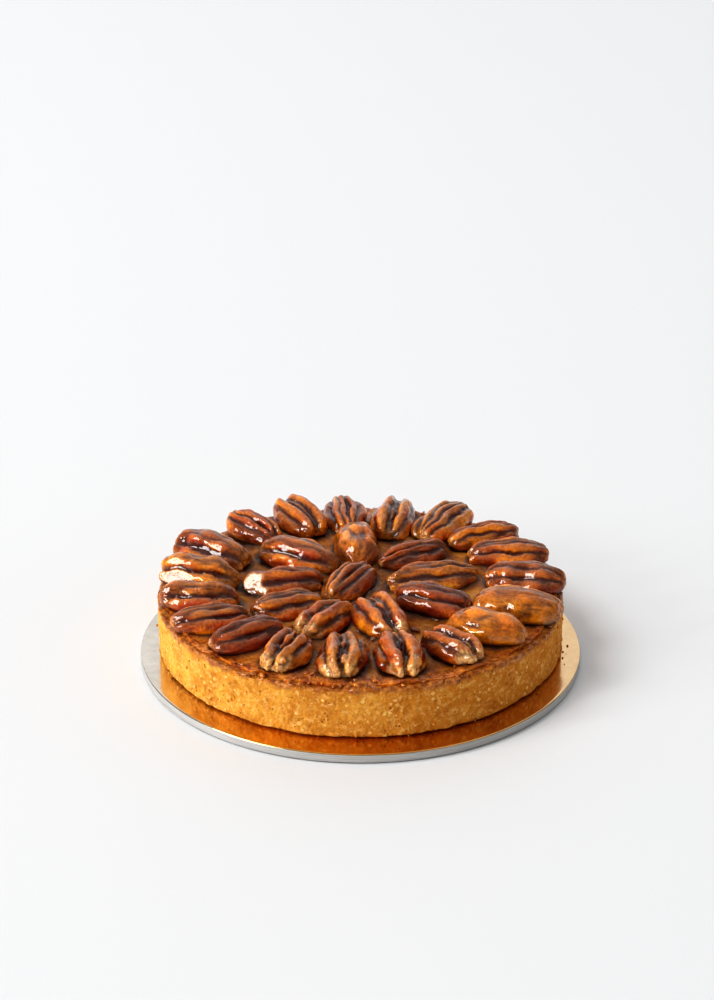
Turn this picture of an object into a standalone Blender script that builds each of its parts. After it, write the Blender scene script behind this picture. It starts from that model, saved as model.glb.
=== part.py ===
"""Pecan tart, 184 mm across, on its round gold cake card. Metres, +Z up, origin under the middle of the card.

A straight-sided shortcrust shell holds a filling baked level with its rim. Nineteen pecan halves lie
round the edge with their ends towards the middle, nine more lie inside them, and one is in the middle.
"""

import math

import bmesh
import bpy
import numpy as np

# The card and the pastry shell
CARD_RADIUS = 0.1000
CARD_THICKNESS = 0.0042
CARD_EDGE_ROUND = 0.0004
TART_OFFSET = 0.0048  # the tart stands this far behind the middle of its card
SHELL_RADIUS = 0.0920
SHELL_HEIGHT = 0.0240
SHELL_WALL = 0.0036
SHELL_FLOOR = 0.0030
RIM_ROUND = 0.0012
FOOT_ROUND = 0.0008
CLEARANCE = 0.0003  # gap left between pieces that touch

# How uneven the hand-lined pastry and the baked filling are
WALL_WAVE = 0.00035
RIM_WAVE = 0.00030
FILLING_DIP = 0.0006

# A middling pecan half, which each nut varies
NUT_LENGTH = 0.0360
NUT_WIDTH = 0.0182
NUT_DOME = 0.0076  # from the widest line up to the ridge
NUT_BELLY = 0.0024  # from the widest line down to the flattened underside

# Facets
ROUND_STEPS = 96
FILLING_RINGS = 8
NUT_STATIONS = 11

SHELL_BOTTOM = CARD_THICKNESS + CLEARANCE
FILLING_RADIUS = SHELL_RADIUS - SHELL_WALL - CLEARANCE

# The nuts as laid, anticlockwise from the right-hand side of the tart. Each row is the angle round the
# tart and the turn away from pointing at the middle, in degrees, the distance of the nut's middle from
# the tart's in millimetres, its length, width and height against the middling nut, how far its outer
# end is tipped up in degrees, and its form.
OUTER_NUTS = (
    (4, -11, 74.4, 1.05, 0.98, 1.00, 0, "whole"),
    (22, -20, 74.0, 1.04, 0.96, 0.98, 0, "whole"),
    (40, -20, 75.5, 0.96, 0.92, 0.94, 0, "whole"),
    (59, -2, 74.5, 1.02, 1.02, 1.06, 1, "whole"),
    (78, 2, 72.5, 1.08, 1.06, 1.06, 1, "open"),
    (96, 0, 73.6, 0.94, 1.00, 1.00, 1, "whole"),
    (113, 8, 75.0, 1.00, 1.06, 1.08, 3, "open"),
    (132, 4, 75.5, 0.90, 0.98, 1.08, 3, "whole"),
    (155, -4, 74.8, 1.04, 1.14, 1.14, 4, "whole"),
    (173, -7, 73.5, 1.04, 1.00, 1.04, 2, "whole"),
    (191, -15, 73.0, 1.02, 0.98, 1.00, 0, "whole"),
    (208, -17, 74.0, 0.99, 0.98, 0.98, 0, "whole"),
    (226, -16, 71.0, 0.98, 0.90, 1.00, 2, "whole"),
    (244, 4, 71.5, 0.86, 0.98, 1.12, 0, "broken"),
    (264, 2, 70.0, 0.92, 1.06, 1.12, 0, "broken"),
    (284, -4, 70.5, 0.98, 1.04, 1.10, 0, "open"),
    (304, 12, 71.5, 0.92, 1.00, 0.98, 0, "broken"),
    (321, 16, 71.0, 1.02, 1.02, 1.08, 2, "whole"),
    (341, 2, 74.0, 1.08, 1.04, 1.12, 2, "whole"),
)
INNER_NUTS = (
    (9, -2, 33.5, 1.16, 0.96, 1.00, 0, "open"),
    (52, -22, 38.5, 0.98, 0.90, 0.94, 0, "whole"),
    (93, 2, 38.4, 0.96, 1.06, 1.12, 0, "whole"),
    (139, 6, 38.0, 1.12, 1.04, 1.06, 0, "whole"),
    (179, 7, 35.5, 1.02, 0.96, 0.98, 0, "whole"),
    (214, -14, 39.0, 0.96, 0.90, 0.98, 0, "whole"),
    (245, -14, 38.5, 0.90, 1.04, 1.00, 0, "open"),
    (285, 8, 35.0, 0.94, 1.08, 1.10, 0, "open"),
    (332, 10, 36.5, 0.98, 0.98, 1.06, 0, "whole"),
)
MIDDLE_NUT = (166, -104, 3.6, 0.94, 1.04, 1.12, 0, "whole")

# Where the grooves run along a nut, as shares of its half width, and how deep and wide they are
GROOVES = {
    "whole": ((-0.19, 0.20, 0.11), (0.19, 0.20, 0.11), (-0.66, 0.08, 0.12), (0.66, 0.08, 0.12)),
    "open": ((-0.34, 0.34, 0.15), (0.16, 0.26, 0.13), (0.66, 0.10, 0.12)),
    "broken": ((-0.20, 0.34, 0.15), (0.24, 0.28, 0.14), (-0.66, 0.12, 0.12), (0.66, 0.10, 0.12)),
}
SECTION_SHARES = (1.0, 0.86, 0.66, 0.42, 0.19, 0.0, -0.19, -0.42, -0.66, -0.86, -1.0)
UNDERSIDE_SHARES = (-0.62, 0.0, 0.62)

COLOURS = {
    "card": ((0.62, 0.36, 0.10), 0.22, 1.0),
    "pastry": ((0.60, 0.32, 0.10), 0.75, 0.0),
    "filling": ((0.20, 0.075, 0.018), 0.25, 0.0),
    "pecan": ((0.30, 0.085, 0.02), 0.25, 0.0),
}


def clear_scene():
    for thing in list(bpy.data.objects):
        bpy.data.objects.remove(thing, do_unlink=True)


def material(name):
    made = bpy.data.materials.get(name)
    if made:
        return made
    colour, roughness, metallic = COLOURS[name]
    made = bpy.data.materials.new(name)
    made.use_nodes = True
    shader = made.node_tree.nodes["Principled BSDF"]
    shader.inputs["Base Color"].default_value = (*colour, 1.0)
    shader.inputs["Roughness"].default_value = roughness
    shader.inputs["Metallic"].default_value = metallic
    return made


def make_stand():
    """The tart's own origin: the middle of the shell's underside, just above the card."""
    stand = bpy.data.objects.new("tart", None)
    stand.location = (0, TART_OFFSET, SHELL_BOTTOM)
    bpy.context.scene.collection.objects.link(stand)
    return stand


def add_object(name, points, faces, material_name, parent=None, sharp_degrees=40):
    mesh = bpy.data.meshes.new(name)
    mesh.from_pydata([tuple(p) for p in points], [], faces)
    tidy = bmesh.new()
    tidy.from_mesh(mesh)
    bmesh.ops.recalc_face_normals(tidy, faces=tidy.faces)
    tidy.to_mesh(mesh)
    tidy.free()
    mesh.shade_smooth()
    mesh.set_sharp_from_angle(angle=math.radians(sharp_degrees))
    mesh.materials.append(material(material_name))
    made = bpy.data.objects.new(name, mesh)
    made.parent = parent
    bpy.context.scene.collection.objects.link(made)
    return made


def tube_faces(rings, steps):
    """Quads between neighbouring rings of steps points each, closed round, one ring after another."""
    faces = []
    for ring in range(rings - 1):
        for step in range(steps):
            after = (step + 1) % steps
            low, high = ring * steps, (ring + 1) * steps
            faces.append((low + step, low + after, high + after, high + step))
    return faces


def wave(angles, seed, harmonics=(3, 5, 8, 13, 21)):
    """A smooth closed unevenness between about -1 and 1: a few sines with seeded phases."""
    random = np.random.default_rng(seed)
    total = np.zeros_like(angles)
    for harmonic in harmonics:
        total += np.sin(harmonic * angles + random.uniform(0, 2 * math.pi)) / len(harmonics) ** 0.5
    return np.clip(total / 1.4, -1, 1)


def turned(name, profile, material_name, parent=None, shift=None):
    """A closed body turned from (radius, height) pairs that start and end on the axis.

    shift(angles, share) gives each point's change of radius and height, where share is the
    point's place along the profile from 0 to 1."""
    angles = np.arange(ROUND_STEPS) * 2 * math.pi / ROUND_STEPS
    rows = profile[1:-1]
    points = []
    for place, (radius, height) in enumerate(rows):
        outwards, upwards = shift(angles, place) if shift else (0.0, 0.0)
        radii = radius + outwards + 0 * angles
        heights = height + upwards + 0 * angles
        points.extend(zip(radii * np.cos(angles), radii * np.sin(angles), heights))
    faces = tube_faces(len(rows), ROUND_STEPS)
    last = (len(rows) - 1) * ROUND_STEPS
    points.append((0.0, 0.0, profile[0][1]))
    points.append((0.0, 0.0, profile[-1][1]))
    for step in range(ROUND_STEPS):
        after = (step + 1) % ROUND_STEPS
        faces.append((len(points) - 2, after, step))
        faces.append((len(points) - 1, last + step, last + after))
    return add_object(name, points, faces, material_name, parent)


def make_card():
    """Card disc, laid on the table, with both edges slightly rounded."""
    inner = CARD_RADIUS - CARD_EDGE_ROUND
    profile = (
        (0, 0),
        (inner, 0),
        (CARD_RADIUS, CARD_EDGE_ROUND),
        (CARD_RADIUS, CARD_THICKNESS - CARD_EDGE_ROUND),
        (inner, CARD_THICKNESS),
        (0, CARD_THICKNESS),
    )
    turned("cake_card", profile, "card")


def make_shell(stand):
    """Open pastry shell: straight outer wall with a soft foot, rounded rim, inner wall and floor."""
    inner = SHELL_RADIUS - SHELL_WALL
    low, high = 0.0, SHELL_HEIGHT
    profile = (
        (0, low),
        (SHELL_RADIUS - FOOT_ROUND, low),
        (SHELL_RADIUS, low + FOOT_ROUND),
        (SHELL_RADIUS, low + 0.30 * SHELL_HEIGHT),
        (SHELL_RADIUS, low + 0.55 * SHELL_HEIGHT),
        (SHELL_RADIUS, low + 0.80 * SHELL_HEIGHT),
        (SHELL_RADIUS, high - RIM_ROUND),
        (SHELL_RADIUS - 0.3 * RIM_ROUND, high - 0.3 * RIM_ROUND),
        (SHELL_RADIUS - RIM_ROUND, high),
        (inner, high),
        (inner, low + SHELL_FLOOR),
        (0, low + SHELL_FLOOR),
    )
    outer_rows = range(1, 8)

    def unevenness(angles, place):
        outwards = WALL_WAVE * (wave(angles, 10 + place) - 1) if place in outer_rows else 0 * angles
        upwards = RIM_WAVE * (wave(angles, 31) - 1) if place in (5, 6, 7, 8) else 0 * angles
        return outwards, upwards

    turned("pastry_shell", profile, "pastry", stand, unevenness)


def make_filling(stand):
    """The filling as one solid from the shell's floor to its rim, its top baked into low waves."""
    bottom = SHELL_FLOOR + CLEARANCE
    top_rings = [FILLING_RADIUS * (1 - k / FILLING_RINGS) for k in range(FILLING_RINGS)]
    profile = [(0, bottom), (FILLING_RADIUS, bottom)]
    profile += [(radius, SHELL_HEIGHT) for radius in top_rings]
    profile.append((0, SHELL_HEIGHT - 0.5 * FILLING_DIP))

    def unevenness(angles, place):
        if place == 0:
            return 0 * angles, 0 * angles
        return 0 * angles, 0.5 * FILLING_DIP * (wave(angles, 50 + place, (2, 3, 5, 7)) - 1)

    turned("filling", profile, "filling", stand, unevenness)


def nut_surface(form, seed):
    """Points of one pecan half about its own middle, long axis on X, in unit half length and width.

    The plan is a blunt oval, fuller towards one end. Each cross-section is an arch whose lengthwise
    grooves fade at the tips, over a shallow flattened belly. Returns the points as
    (stations, section, 3), where X and Y are shares of half length and half width and Z is a share
    of the dome where it is positive and of the belly where it is negative."""
    random = np.random.default_rng(seed)
    fuller = random.uniform(-0.14, 0.14)
    bend = random.uniform(-0.10, 0.10)
    along = -np.cos(np.linspace(0.09, math.pi - 0.09, NUT_STATIONS)) / math.cos(0.09)
    along = along * 0.985
    section = np.array(SECTION_SHARES + UNDERSIDE_SHARES)
    arch_count = len(SECTION_SHARES)
    t = along[:, None]
    s = section[None, :]
    plan = (1 - np.abs(t) ** 2.7) ** 0.5 * (1 + fuller * t)
    rise = (1 - np.abs(t) ** 2.8) ** 0.52
    arch = np.clip(1 - np.abs(s) ** 2.3, 0, 1) ** 0.55
    for where, depth, width in GROOVES[form]:
        drift = where * (1 - 0.25 * t**2) + 0.05 * random.uniform(-1, 1) * t
        strength = depth * (1 + 0.35 * random.uniform(-1, 1) * np.sin(2.2 * t + random.uniform(0, 6)))
        arch = arch - strength * np.exp(-(((s - drift) / width) ** 2))
    arch = np.clip(arch, 0.0, 1.1)
    arch[:, 0] = 0.0
    arch[:, arch_count - 1] = 0.0
    lumps = 1 + 0.05 * np.sin(5 * t + 3 * s + random.uniform(0, 6)) + 0.04 * np.sin(9 * t - 4 * s)
    height = rise * arch * lumps
    height[:, arch_count:] = -(rise + 0 * s)[:, arch_count:]
    if form == "broken":
        cut = np.clip((t - 0.74) / 0.26, 0, 1)
        height = np.where(height > 0, height * (1 - 0.25 * cut), height)
        t = t - 0.10 * cut * (1 + 0.5 * np.sin(7 * s))
    x = t + 0 * s
    y = plan * (s + 0 * t) + bend * (1 - 2 * t**2)
    return np.stack([x, y, height], axis=-1)


def make_nut(name, row, seed, stand):
    """One pecan half, dome up, laid on the filling with its long axis towards the middle."""
    angle, turn, distance, length, width, height, tipped, form = row
    shape = nut_surface(form, seed)
    stations, around = shape.shape[:2]
    scale_z = np.where(shape[..., 2] > 0, NUT_DOME * height, NUT_BELLY)
    local = np.stack(
        [
            shape[..., 0] * 0.5 * NUT_LENGTH * length,
            shape[..., 1] * 0.5 * NUT_WIDTH * width,
            shape[..., 2] * scale_z + NUT_BELLY,
        ],
        axis=-1,
    ).reshape(-1, 3)
    faces = tube_faces(stations, around)
    ends = []
    for side, first in ((-1, 0), (1, (stations - 1) * around)):
        ring = local[first : first + around]
        tip = ring.mean(axis=0) + np.array([side * 0.0004 * length, 0, 0])
        ends.append(tip)
        hub = len(local) + (0 if side < 0 else 1)
        for step in range(around):
            after = (step + 1) % around
            pair = (first + step, first + after)
            faces.append((hub, *pair) if side > 0 else (hub, *pair[::-1]))
    points = np.vstack([local, ends])
    made = add_object(name, points, faces, "pecan", stand, 60)
    tip_up = math.radians(tipped)
    lowest = (points[:, 2] * math.cos(tip_up) + points[:, 0] * math.sin(tip_up)).min()
    made.location = (
        0.001 * distance * math.cos(math.radians(angle)),
        0.001 * distance * math.sin(math.radians(angle)),
        SHELL_HEIGHT + CLEARANCE - lowest,
    )
    made.rotation_euler = (0, -tip_up, math.radians(angle + turn))
    return made


def main():
    clear_scene()
    make_card()
    stand = make_stand()
    make_shell(stand)
    make_filling(stand)
    for number, row in enumerate(OUTER_NUTS, 1):
        make_nut(f"outer_pecan_{number:02d}", row, 100 + number, stand)
    for number, row in enumerate(INNER_NUTS, 1):
        make_nut(f"inner_pecan_{number:02d}", row, 200 + number, stand)
    make_nut("middle_pecan", MIDDLE_NUT, 300, stand)


main()
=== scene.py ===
"""Looks of a pecan tart on its gold cake card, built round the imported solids. Metres, +Z up."""

import math

import bpy
import numpy as np
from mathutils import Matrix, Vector


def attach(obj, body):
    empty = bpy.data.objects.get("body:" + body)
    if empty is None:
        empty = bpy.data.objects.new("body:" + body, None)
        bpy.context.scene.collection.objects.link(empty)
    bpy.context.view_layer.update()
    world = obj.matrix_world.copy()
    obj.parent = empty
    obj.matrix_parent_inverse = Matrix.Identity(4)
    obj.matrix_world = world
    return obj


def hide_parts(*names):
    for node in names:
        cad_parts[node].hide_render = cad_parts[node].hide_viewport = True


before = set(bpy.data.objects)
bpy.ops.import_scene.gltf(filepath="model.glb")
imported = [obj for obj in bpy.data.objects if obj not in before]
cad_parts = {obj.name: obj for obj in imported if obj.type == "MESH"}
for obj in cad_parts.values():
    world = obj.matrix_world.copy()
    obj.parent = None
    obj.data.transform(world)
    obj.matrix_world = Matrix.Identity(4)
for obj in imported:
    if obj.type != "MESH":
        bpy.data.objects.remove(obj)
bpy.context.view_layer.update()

# The sweep table and the camera
# The tart stands on a plain white table, seen from the front at a low three-quarter height. The camera
# looks so that the middle of the tart's base lands on the same pixel as in the photo.
PHOTO_WIDTH, PHOTO_HEIGHT = 714, 1000
BASE_X, BASE_Y = 360.5, 646.9  # pixel where the middle of the tart's base lands
FOCAL_PIXELS = 2626.0
SENSOR_HEIGHT = 36.0  # millimetres
CAMERA_HEIGHT_ANGLE = math.radians(28.0)
CAMERA_DISTANCE = 1.206
TART_OFFSET = 0.0048  # the tart stands this far behind the middle of its card

aside = math.atan((BASE_X - PHOTO_WIDTH / 2) / FOCAL_PIXELS)
look_down = CAMERA_HEIGHT_ANGLE - math.atan((BASE_Y - PHOTO_HEIGHT / 2) / FOCAL_PIXELS)
lens = bpy.data.cameras.new("camera")
lens.sensor_fit = "VERTICAL"
lens.sensor_height = SENSOR_HEIGHT
lens.lens = SENSOR_HEIGHT * FOCAL_PIXELS / PHOTO_HEIGHT
lens.clip_start, lens.clip_end = 0.01, 50.0
camera = bpy.data.objects.new("camera", lens)
camera.location = (
    0,
    TART_OFFSET - CAMERA_DISTANCE * math.cos(CAMERA_HEIGHT_ANGLE),
    CAMERA_DISTANCE * math.sin(CAMERA_HEIGHT_ANGLE),
)
looks_along = Vector(
    (-math.sin(aside), math.cos(look_down) * math.cos(aside), -math.sin(look_down) * math.cos(aside))
)
camera.rotation_mode = "QUATERNION"
camera.rotation_quaternion = looks_along.to_track_quat("-Z", "Y")
bpy.context.scene.collection.objects.link(camera)
bpy.context.scene.camera = camera


def finish_of(name, **inputs):
    """A material with one Principled shader; each keyword sets the input of that name, with _ for a space."""
    made = bpy.data.materials.new(name)
    made.use_nodes = True
    shader = made.node_tree.nodes["Principled BSDF"]
    for key, value in inputs.items():
        socket = shader.inputs[key.replace("_", " ")]
        socket.default_value = (*value, 1.0) if socket.type == "RGBA" else value
    return made


TABLE_SIZE = 7.0
TABLE_PLACE = (0, 1.0, -0.0002)

half = TABLE_SIZE / 2
table_mesh = bpy.data.meshes.new("table_top")
table_mesh.from_pydata(
    [(-half, -half, 0), (half, -half, 0), (half, half, 0), (-half, half, 0)], [], [(0, 1, 2, 3)]
)
table_top = bpy.data.objects.new("table_top", table_mesh)
table_top.location = TABLE_PLACE
bpy.context.scene.collection.objects.link(table_top)
table_mesh.materials.append(finish_of("white_table", Base_Color=(0.76, 0.76, 0.762), Roughness=0.6))

# The studio light
# Daylight comes from a window of four panes at the front left, with more glass over it that only gloss
# mirrors. Soft panels stand for the pale room. Those at the left and front, and every second pane, are
# kept off the table, which has a light of its own overhead, so that its shadows stay short.
WINDOW_TOWARDS = Vector((-0.80, -0.43, 0.37)).normalized()
WINDOW_DISTANCE = 5.0
WINDOW_PANE = (0.60, 1.50)
WINDOW_PANES = 4
WINDOW_MULLION = 0.12
WINDOW_TOP_HEIGHT = 1.1
WINDOW_RADIANCE = 9.8
DAYLIGHT = (1.0, 0.995, 0.988)
ROOM_LIGHT = 0.26
ROOM_COLOUR = (0.98, 0.99, 1.0, 1.0)

only_table = bpy.data.collections.new("only_the_table")
only_table.objects.link(table_top)
off_table = bpy.data.collections.new("all_but_the_table")
off_table.objects.link(table_top)
off_table.collection_objects[0].light_linking.link_state = "EXCLUDE"

SIDE_LIT, STRIP_LIT, FRONT_LIT = (1.0, 0.99, 0.975), (1.0, 0.99, 0.97), (1.0, 0.995, 0.98)
WHITE = (1.0, 1.0, 1.0)
PANELS = (  # name, place, point it faces, size, radiance, colour, lights, shows, falls on
    ("bright_side", (-5.0, 1.0, 2.9), (0, 0, 0), (8.0, 4.4), 0.60, SIDE_LIT, True, False, off_table),
    ("bright_strip", (-5.0, -0.8, 1.0), (0, 0, 0.5), (7.5, 1.8), 2.3, STRIP_LIT, True, False, off_table),
    ("front_strip", (-3.2, -3.8, 0.9), (0, 0, 0.3), (5.0, 1.4), 0.45, FRONT_LIT, True, False, off_table),
    ("right_side", (5.0, -0.8, 1.5), (0, 0, 0.2), (6.0, 2.6), 0.55, WHITE, True, False),
    ("sweep_light", (-3.2, -0.3, 3.9), (0, 0, 0), (3.0, 2.5), 5.0, WHITE, True, True, only_table),
    ("ceiling", (0.0, 1.2, 4.0), (0, 0.8, 0), (6.0, 5.0), 0.35, WHITE),
    ("pale_wall", (0.0, 4.6, 2.1), (0, 0, 0.3), (8.0, 3.8), 0.50, (0.96, 0.97, 1.0)),
)


def panel_light(name, place, towards, size, radiance, colour, lights=True, shows=True, falls_on=None):
    """A flat rectangular light of that radiance, facing a point.

    lights says whether it lights matt things, shows whether glossy ones mirror it, and falls_on is the
    collection that says what it lights, where that isn't everything."""
    data = bpy.data.lights.new(name, "AREA")
    data.shape = "RECTANGLE"
    data.size, data.size_y = size
    data.energy = radiance * math.pi * size[0] * size[1]
    data.color = colour
    made = bpy.data.objects.new(name, data)
    made.location = place
    made.rotation_mode = "QUATERNION"
    made.rotation_quaternion = (Vector(towards) - Vector(place)).to_track_quat("-Z", "Y")
    made.visible_diffuse, made.visible_glossy = lights, shows
    made.light_linking.receiver_collection = falls_on
    bpy.context.scene.collection.objects.link(made)


window_middle = WINDOW_TOWARDS * WINDOW_DISTANCE
window_aside = WINDOW_TOWARDS.cross(Vector((0, 0, 1))).normalized()
window_rise = Vector((0, 0, 0.5 * WINDOW_PANE[1] + WINDOW_MULLION + 0.5 * WINDOW_TOP_HEIGHT))
for pane in range(WINDOW_PANES):
    shift = window_aside * (pane - (WINDOW_PANES - 1) / 2) * (WINDOW_PANE[0] + WINDOW_MULLION)
    place = window_middle + shift
    falls_on = None if pane % 2 else off_table
    panel_light(
        f"window_pane_{pane + 1}", place, shift, WINDOW_PANE, WINDOW_RADIANCE, DAYLIGHT, falls_on=falls_on
    )
    place = place + window_rise
    size = (WINDOW_PANE[0], WINDOW_TOP_HEIGHT)
    panel_light(f"window_top_light_{pane + 1}", place, shift, size, WINDOW_RADIANCE, DAYLIGHT, lights=False)
for panel in PANELS:
    panel_light(*panel)

room = bpy.data.worlds.new("pale_room")
room.use_nodes = True
room.node_tree.nodes["Background"].inputs["Color"].default_value = ROOM_COLOUR
room.node_tree.nodes["Background"].inputs["Strength"].default_value = ROOM_LIGHT
bpy.context.scene.world = room
bpy.context.scene.view_settings.view_transform = "Standard"
bpy.context.scene.view_settings.look = "High Contrast"

# The cake card
# A stiff round board, laminated on top with mirror-like gold foil that turns over the edge as a thin
# bright line. Its cut side is silvery grey, with the plies of the board showing as fine lines.
CARD_RADIUS = 0.1000
CARD_THICKNESS = 0.0042
CARD_STEPS = 720
CARD_PROFILE = (  # inset under the card's radius, height, as metres
    (0.0006, 0.0000),
    (0.0001, 0.0003),
    (0.0000, 0.0010),
    (0.0000, 0.0021),
    (0.0000, 0.0033),
    (0.0001, 0.0038),
    (0.0003, 0.00405),
    (0.0007, 0.00418),
    (0.0012, 0.0042),
)
CARD_FACE_RADII = np.linspace(0.0980, 0.0100, 45)
BOARD_RINGS = 7  # rings of faces from the underside up that are bare board, under the turned-over foil
# The gold's own tones across the card, with a painted sheen: the pale champagne at the left edge stands in
# for the window light mirrored by the foil.
FOIL_TONES_AND_SHEEN = (  # from the left edge to the right
    (0.04, (0.80, 0.735, 0.645)),
    (0.15, (0.80, 0.59, 0.36)),
    (0.28, (0.86, 0.51, 0.16)),
    (0.62, (0.78, 0.43, 0.14)),
    (0.96, (0.85, 0.60, 0.345)),
)


def raw_mesh(name, points, loops, sizes, attributes):
    """A smooth mesh from points, the point numbers round each face, and how many of them each face has.

    attributes maps a name to an array with one value, or one colour, for each point in the same order."""
    mesh = bpy.data.meshes.new(name)
    mesh.vertices.add(len(points))
    mesh.vertices.foreach_set("co", points.astype(np.float32).reshape(-1))
    mesh.loops.add(len(loops))
    mesh.loops.foreach_set("vertex_index", loops.astype(np.int32))
    mesh.polygons.add(len(sizes))
    mesh.polygons.foreach_set("loop_start", (np.cumsum(sizes) - sizes).astype(np.int32))
    mesh.update(calc_edges=True)
    mesh.shade_smooth()
    for key, values in attributes.items():
        values = np.asarray(values, np.float32)
        if values.ndim == 2:
            opaque = np.hstack([values, np.ones((len(values), 1), np.float32)])
            coloured = mesh.color_attributes.new(key, "FLOAT_COLOR", "POINT")
            coloured.data.foreach_set("color", opaque.reshape(-1))
        else:
            mesh.attributes.new(key, "FLOAT", "POINT").data.foreach_set("value", values)
    return mesh


def grid_mesh(name, grid, low_pole, high_pole, attributes=None):
    """A closed mesh from rows of points, each row closed round, with a pole point capping either end.

    Its faces point outwards: they are turned where the volume under them comes out less than zero."""
    rows, around = grid.shape[:2]
    points = np.vstack([grid.reshape(-1, 3), low_pole, high_pole])
    index = np.arange(rows * around).reshape(rows, around)
    after = np.roll(index, -1, axis=1)
    quads = np.stack([index[:-1], after[:-1], after[1:], index[1:]], axis=-1).reshape(-1, 4)
    low_cap = np.stack([np.full(around, rows * around), after[0], index[0]], axis=-1)
    high_cap = np.stack([np.full(around, rows * around + 1), index[-1], after[-1]], axis=-1)
    caps = np.vstack([low_cap, high_cap])
    corners = points[quads] - points.mean(axis=0)
    volume = np.einsum("ij,ij->", corners[:, 0], np.cross(corners[:, 1], corners[:, 2]))
    if volume < 0:
        quads, caps = quads[:, ::-1], caps[:, ::-1]
    loops = np.concatenate([quads.reshape(-1), caps.reshape(-1)])
    sizes = np.concatenate([np.full(len(quads), 4), np.full(len(caps), 3)])
    return raw_mesh(name, points, loops, sizes, attributes or {})


def place_piece(name, mesh, material, slot, *nodes):
    """Puts a finished mesh in the scene as a piece on the one body, standing for those nodes."""
    mesh.materials.append(material)
    made = bpy.data.objects.new(name, mesh)
    bpy.context.scene.collection.objects.link(made)
    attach(made, "root")
    if nodes:
        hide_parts(*nodes)
    return made


def add_node(material, kind, inputs=None, **settings):
    """A node in the material's tree.

    inputs maps a socket's name or number to a value or to another node's output."""
    made = material.node_tree.nodes.new(kind)
    for key, value in settings.items():
        setattr(made, key, value)
    for key, value in (inputs or {}).items():
        if isinstance(value, bpy.types.NodeSocket):
            material.node_tree.links.new(value, made.inputs[key])
        else:
            made.inputs[key].default_value = value
    return made


def feed(material, key, output):
    """Joins a node's output to the material's Principled input of that name."""
    material.node_tree.links.new(output, material.node_tree.nodes["Principled BSDF"].inputs[key])


def noise_texture(material, scale, detail=3.0, roughness=0.55, stretch=(1, 1, 1)):
    """Blender's noise on Object coordinates, scale in features a metre. Returns its 0 to 1 output."""
    where = add_node(material, "ShaderNodeTexCoord").outputs["Object"]
    if stretch != (1, 1, 1):
        where = add_node(material, "ShaderNodeMapping", {"Vector": where, "Scale": stretch}).outputs[0]
    inputs = {"Vector": where, "Scale": scale, "Detail": detail, "Roughness": roughness}
    return add_node(material, "ShaderNodeTexNoise", inputs).outputs[0]


def ramp(material, factor, stops):
    """A colour ramp over (place, colour) stops. Returns its colour output."""
    made = add_node(material, "ShaderNodeValToRGB", {0: factor})
    marks = made.color_ramp.elements
    while len(marks) < len(stops):
        marks.new(0.5)
    for mark, (place, colour) in zip(marks, stops):
        mark.position = place
        mark.color = (*colour, 1.0) if isinstance(colour, tuple) else (colour, colour, colour, 1.0)
    return made.outputs[0]


def mixed(material, factor, first, second, way="MIX"):
    """Blends two colours, each a value or an output, by a factor."""
    made = add_node(material, "ShaderNodeMix", data_type="RGBA", blend_type=way)
    for socket, value in ((made.inputs[0], factor), (made.inputs[6], first), (made.inputs[7], second)):
        if isinstance(value, bpy.types.NodeSocket):
            material.node_tree.links.new(value, socket)
        else:
            socket.default_value = (*value, 1.0) if isinstance(value, tuple) else value
    return made.outputs[2]


def bumped(material, height, strength, distance):
    """A Bump node over a height output. Returns the bent normal."""
    inputs = {"Height": height, "Strength": strength, "Distance": distance}
    return add_node(material, "ShaderNodeBump", inputs).outputs[0]


def turned_grid(profile, steps):
    """Rows of points turned round the Z axis, one row for each (radius, height)."""
    angles = np.arange(steps) * 2 * math.pi / steps
    profile = np.array(profile, float)
    height = np.repeat(profile[:, 1:], steps, axis=1)
    return np.stack([profile[:, :1] * np.cos(angles), profile[:, :1] * np.sin(angles), height], axis=-1)


card_rows = [(0.04, 0.0), (0.09, 0.0)]
card_rows += [(CARD_RADIUS - inset, height) for inset, height in CARD_PROFILE]
card_rows += [(radius, CARD_THICKNESS) for radius in CARD_FACE_RADII]
card_mesh = grid_mesh("gold_card", turned_grid(card_rows, CARD_STEPS), (0, 0, 0), (0, 0, CARD_THICKNESS))

foil = finish_of("gold_foil", Metallic=1.0, Roughness=0.13)
foil_place = add_node(foil, "ShaderNodeTexCoord").outputs["Object"]
foil_side = add_node(foil, "ShaderNodeSeparateXYZ", {0: foil_place}).outputs["X"]
foil_side = add_node(foil, "ShaderNodeMapRange", {0: foil_side, 1: -CARD_RADIUS, 2: CARD_RADIUS}).outputs[0]
foil_worn = ramp(foil, noise_texture(foil, 60.0, 4.0, 0.7), ((0.35, 0.82), (0.65, 1.0)))
# The foil's colour runs from left to right across the card. It is pale at the left as a painted sheen of the
# window light.
feed(foil, "Base Color", mixed(foil, 1.0, ramp(foil, foil_side, FOIL_TONES_AND_SHEEN), foil_worn, "MULTIPLY"))
feed(foil, "Normal", bumped(foil, noise_texture(foil, 220.0, 2.0), 0.05, 0.0004))
board = finish_of("grey_board", Roughness=0.45, Metallic=0.15)
plies = noise_texture(board, 40.0, 3.0, 0.6, (1, 1, 60))
feed(board, "Base Color", ramp(board, plies, ((0.3, (0.36, 0.35, 0.335)), (0.7, (0.56, 0.545, 0.53)))))
place_piece("gold_card", card_mesh, foil, "card", "cake_card")
card_mesh.materials.append(board)
face_ring = np.arange(len(card_mesh.polygons)) // CARD_STEPS
is_board = (face_ring < BOARD_RINGS) | (face_ring == len(card_rows) - 1)  # the last is the underside's cap
card_mesh.polygons.foreach_set("material_index", is_board.astype(np.int32))

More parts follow.
